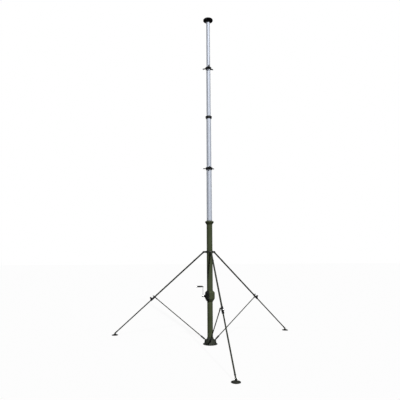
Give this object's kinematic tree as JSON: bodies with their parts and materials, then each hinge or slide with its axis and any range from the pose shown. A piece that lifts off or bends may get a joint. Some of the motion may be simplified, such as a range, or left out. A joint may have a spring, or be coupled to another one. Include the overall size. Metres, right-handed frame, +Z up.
{
  "type": "crank-up telescopic radio mast",
  "caption": "Telescoping mast on a braced folding stand, with a hand crank at working height, eared plates for guy lines and a round head plate that carries an antenna.",
  "frame": {"origin": "on the mast's axis at the underside of the base plate", "axes": "+Z up along the mast, front leg along -Y, crank along -X"},
  "size_m": [3.8646, 3.3749, 6.7],
  "materials": {
    "black_alloy": "black anodised",
    "black_casting": "satin black paint",
    "black_grip": "moulded",
    "bright_aluminium": "clear anodised",
    "bright_steel": "zinc plated",
    "olive_paint": "satin olive paint"
  },
  "bodies": {
    "stand": {"base_plate": "black_casting", "boot": "olive_paint", "brace_pins": "bright_steel", "pedestal_tube": "olive_paint", "gearbox_housing": "olive_paint", "gearbox_cover": "black_casting", "base_tube": "olive_paint", "base_tube_collar": "olive_paint", "tripod_collar": "olive_paint", "leg_pins": "bright_steel"},
    "section_1": {"section_1_tube": "bright_aluminium", "section_1_collar": "black_alloy", "section_1_guy_plate": "black_alloy"},
    "section_2": {"section_2_tube": "bright_aluminium", "section_2_collar": "black_alloy"},
    "section_3": {"section_3_tube": "bright_aluminium", "section_3_collar": "black_alloy", "section_3_guy_plate": "black_alloy"},
    "section_4": {"section_4_tube": "bright_aluminium", "head_plate": "black_alloy"},
    "crank": {"crank_shaft": "bright_steel", "crank_arm": "bright_steel"},
    "grip": {"crank_grip": "black_grip"},
    "front_leg": {"leg_front_upper": "olive_paint", "leg_front_clamp": "black_alloy", "leg_front_knob": "black_grip"},
    "front_leg_extension": {"leg_front_lower": "olive_paint"},
    "front_foot": {"leg_front_foot": "black_casting"},
    "front_slider": {"leg_front_slider": "black_alloy"},
    "front_brace": {"leg_front_brace": "olive_paint"},
    "right_leg": {"leg_right_upper": "olive_paint", "leg_right_clamp": "black_alloy", "leg_right_knob": "black_grip"},
    "right_leg_extension": {"leg_right_lower": "olive_paint"},
    "right_foot": {"leg_right_foot": "black_casting"},
    "right_slider": {"leg_right_slider": "black_alloy"},
    "right_brace": {"leg_right_brace": "olive_paint"},
    "left_leg": {"leg_left_upper": "olive_paint", "leg_left_clamp": "black_alloy", "leg_left_knob": "black_grip"},
    "left_leg_extension": {"leg_left_lower": "olive_paint"},
    "left_foot": {"leg_left_foot": "black_casting"},
    "left_slider": {"leg_left_slider": "black_alloy"},
    "left_brace": {"leg_left_brace": "olive_paint"}
  },
  "joints": [
    {"name": "section_1_slide", "type": "slide", "parent": "stand", "child": "section_1", "axis": [0, 0, -1], "range_m": [0, 1.03]},
    {"name": "section_2_slide", "type": "slide", "parent": "section_1", "child": "section_2", "axis": [0, 0, -1], "range_m": [0, 1.03]},
    {"name": "section_3_slide", "type": "slide", "parent": "section_2", "child": "section_3", "axis": [0, 0, -1], "range_m": [0, 1.03]},
    {"name": "section_4_slide", "type": "slide", "parent": "section_3", "child": "section_4", "axis": [0, 0, -1], "range_m": [0, 1.03]},
    {"name": "crank_turn", "type": "hinge", "parent": "stand", "child": "crank", "pos_m": [-0.1255, 0, 0.882], "axis": [-1, 0, 0], "range_deg": [0, 9360]},
    {"name": "grip_turn", "type": "hinge", "parent": "crank", "child": "grip", "pos_m": [-0.139, 0, 1.062], "axis": [-1, 0, 0], "continuous": true},
    {"name": "front_leg_fold", "type": "hinge", "parent": "stand", "child": "front_leg", "pos_m": [0.012, -0.12, 1.722], "axis": [1, 0, 0], "range_deg": [0, 46.43]},
    {"name": "front_slider_slide", "type": "slide", "parent": "front_leg", "child": "front_slider", "axis": [0, 0.7708, 0.6371], "range_m": [0, 1.116]},
    {"name": "front_brace_swing", "type": "hinge", "parent": "stand", "child": "front_brace", "pos_m": [-0.018, -0.103, 0.067], "axis": [-1, 0, 0], "range_deg": [0, 54.75]},
    {"name": "front_leg_extend", "type": "slide", "parent": "front_leg", "child": "front_leg_extension", "axis": [0, 0.7708, 0.6371], "range_m": [0, 1.03]},
    {"name": "front_foot_tilt", "type": "hinge", "parent": "front_leg_extension", "child": "front_foot", "pos_m": [0.012, -2.155, 0.04], "axis": [-1, 0, 0], "range_deg": [-15, 50]},
    {"name": "right_leg_fold", "type": "hinge", "parent": "stand", "child": "right_leg", "pos_m": [0.09792, 0.07039, 1.722], "axis": [-0.5, 0.866, 0], "range_deg": [0, 46.43]},
    {"name": "right_slider_slide", "type": "slide", "parent": "right_leg", "child": "right_slider", "axis": [-0.6675, -0.3854, 0.6371], "range_m": [0, 1.116]},
    {"name": "right_brace_swing", "type": "hinge", "parent": "stand", "child": "right_brace", "pos_m": [0.0982, 0.03591, 0.067], "axis": [0.5, -0.866, 0], "range_deg": [0, 54.75]},
    {"name": "right_leg_extend", "type": "slide", "parent": "right_leg", "child": "right_leg_extension", "axis": [-0.6675, -0.3854, 0.6371], "range_m": [0, 1.03]},
    {"name": "right_foot_tilt", "type": "hinge", "parent": "right_leg_extension", "child": "right_foot", "pos_m": [1.86028, 1.08789, 0.04], "axis": [0.5, -0.866, 0], "range_deg": [-15, 50]},
    {"name": "left_leg_fold", "type": "hinge", "parent": "stand", "child": "left_leg", "pos_m": [-0.10992, 0.04961, 1.722], "axis": [-0.5, -0.866, 0], "range_deg": [0, 46.43]},
    {"name": "left_slider_slide", "type": "slide", "parent": "left_leg", "child": "left_slider", "axis": [0.6675, -0.3854, 0.6371], "range_m": [0, 1.116]},
    {"name": "left_brace_swing", "type": "hinge", "parent": "stand", "child": "left_brace", "pos_m": [-0.0802, 0.06709, 0.067], "axis": [0.5, 0.866, 0], "range_deg": [0, 54.75]},
    {"name": "left_leg_extend", "type": "slide", "parent": "left_leg", "child": "left_leg_extension", "axis": [0.6675, -0.3854, 0.6371], "range_m": [0, 1.03]},
    {"name": "left_foot_tilt", "type": "hinge", "parent": "left_leg_extension", "child": "left_foot", "pos_m": [-1.87228, 1.06711, 0.04], "axis": [0.5, 0.866, 0], "range_deg": [-15, 50]}
  ],
  "couplings": [
    {"joint": "section_2_slide", "follows": "section_1_slide", "ratio": 1},
    {"joint": "section_3_slide", "follows": "section_1_slide", "ratio": 1},
    {"joint": "section_4_slide", "follows": "section_1_slide", "ratio": 1},
    {"joint": "crank_turn", "follows": "section_1_slide", "rad_per_m": 158.6},
    {"joint": "front_slider_slide", "follows": "front_leg_fold", "m_per_rad": 1.3761},
    {"joint": "front_brace_swing", "follows": "front_leg_fold", "ratio": 1.1772},
    {"joint": "right_slider_slide", "follows": "right_leg_fold", "m_per_rad": 1.3761},
    {"joint": "right_brace_swing", "follows": "right_leg_fold", "ratio": 1.1772},
    {"joint": "left_slider_slide", "follows": "left_leg_fold", "m_per_rad": 1.3761},
    {"joint": "left_brace_swing", "follows": "left_leg_fold", "ratio": 1.1772}
  ]
}
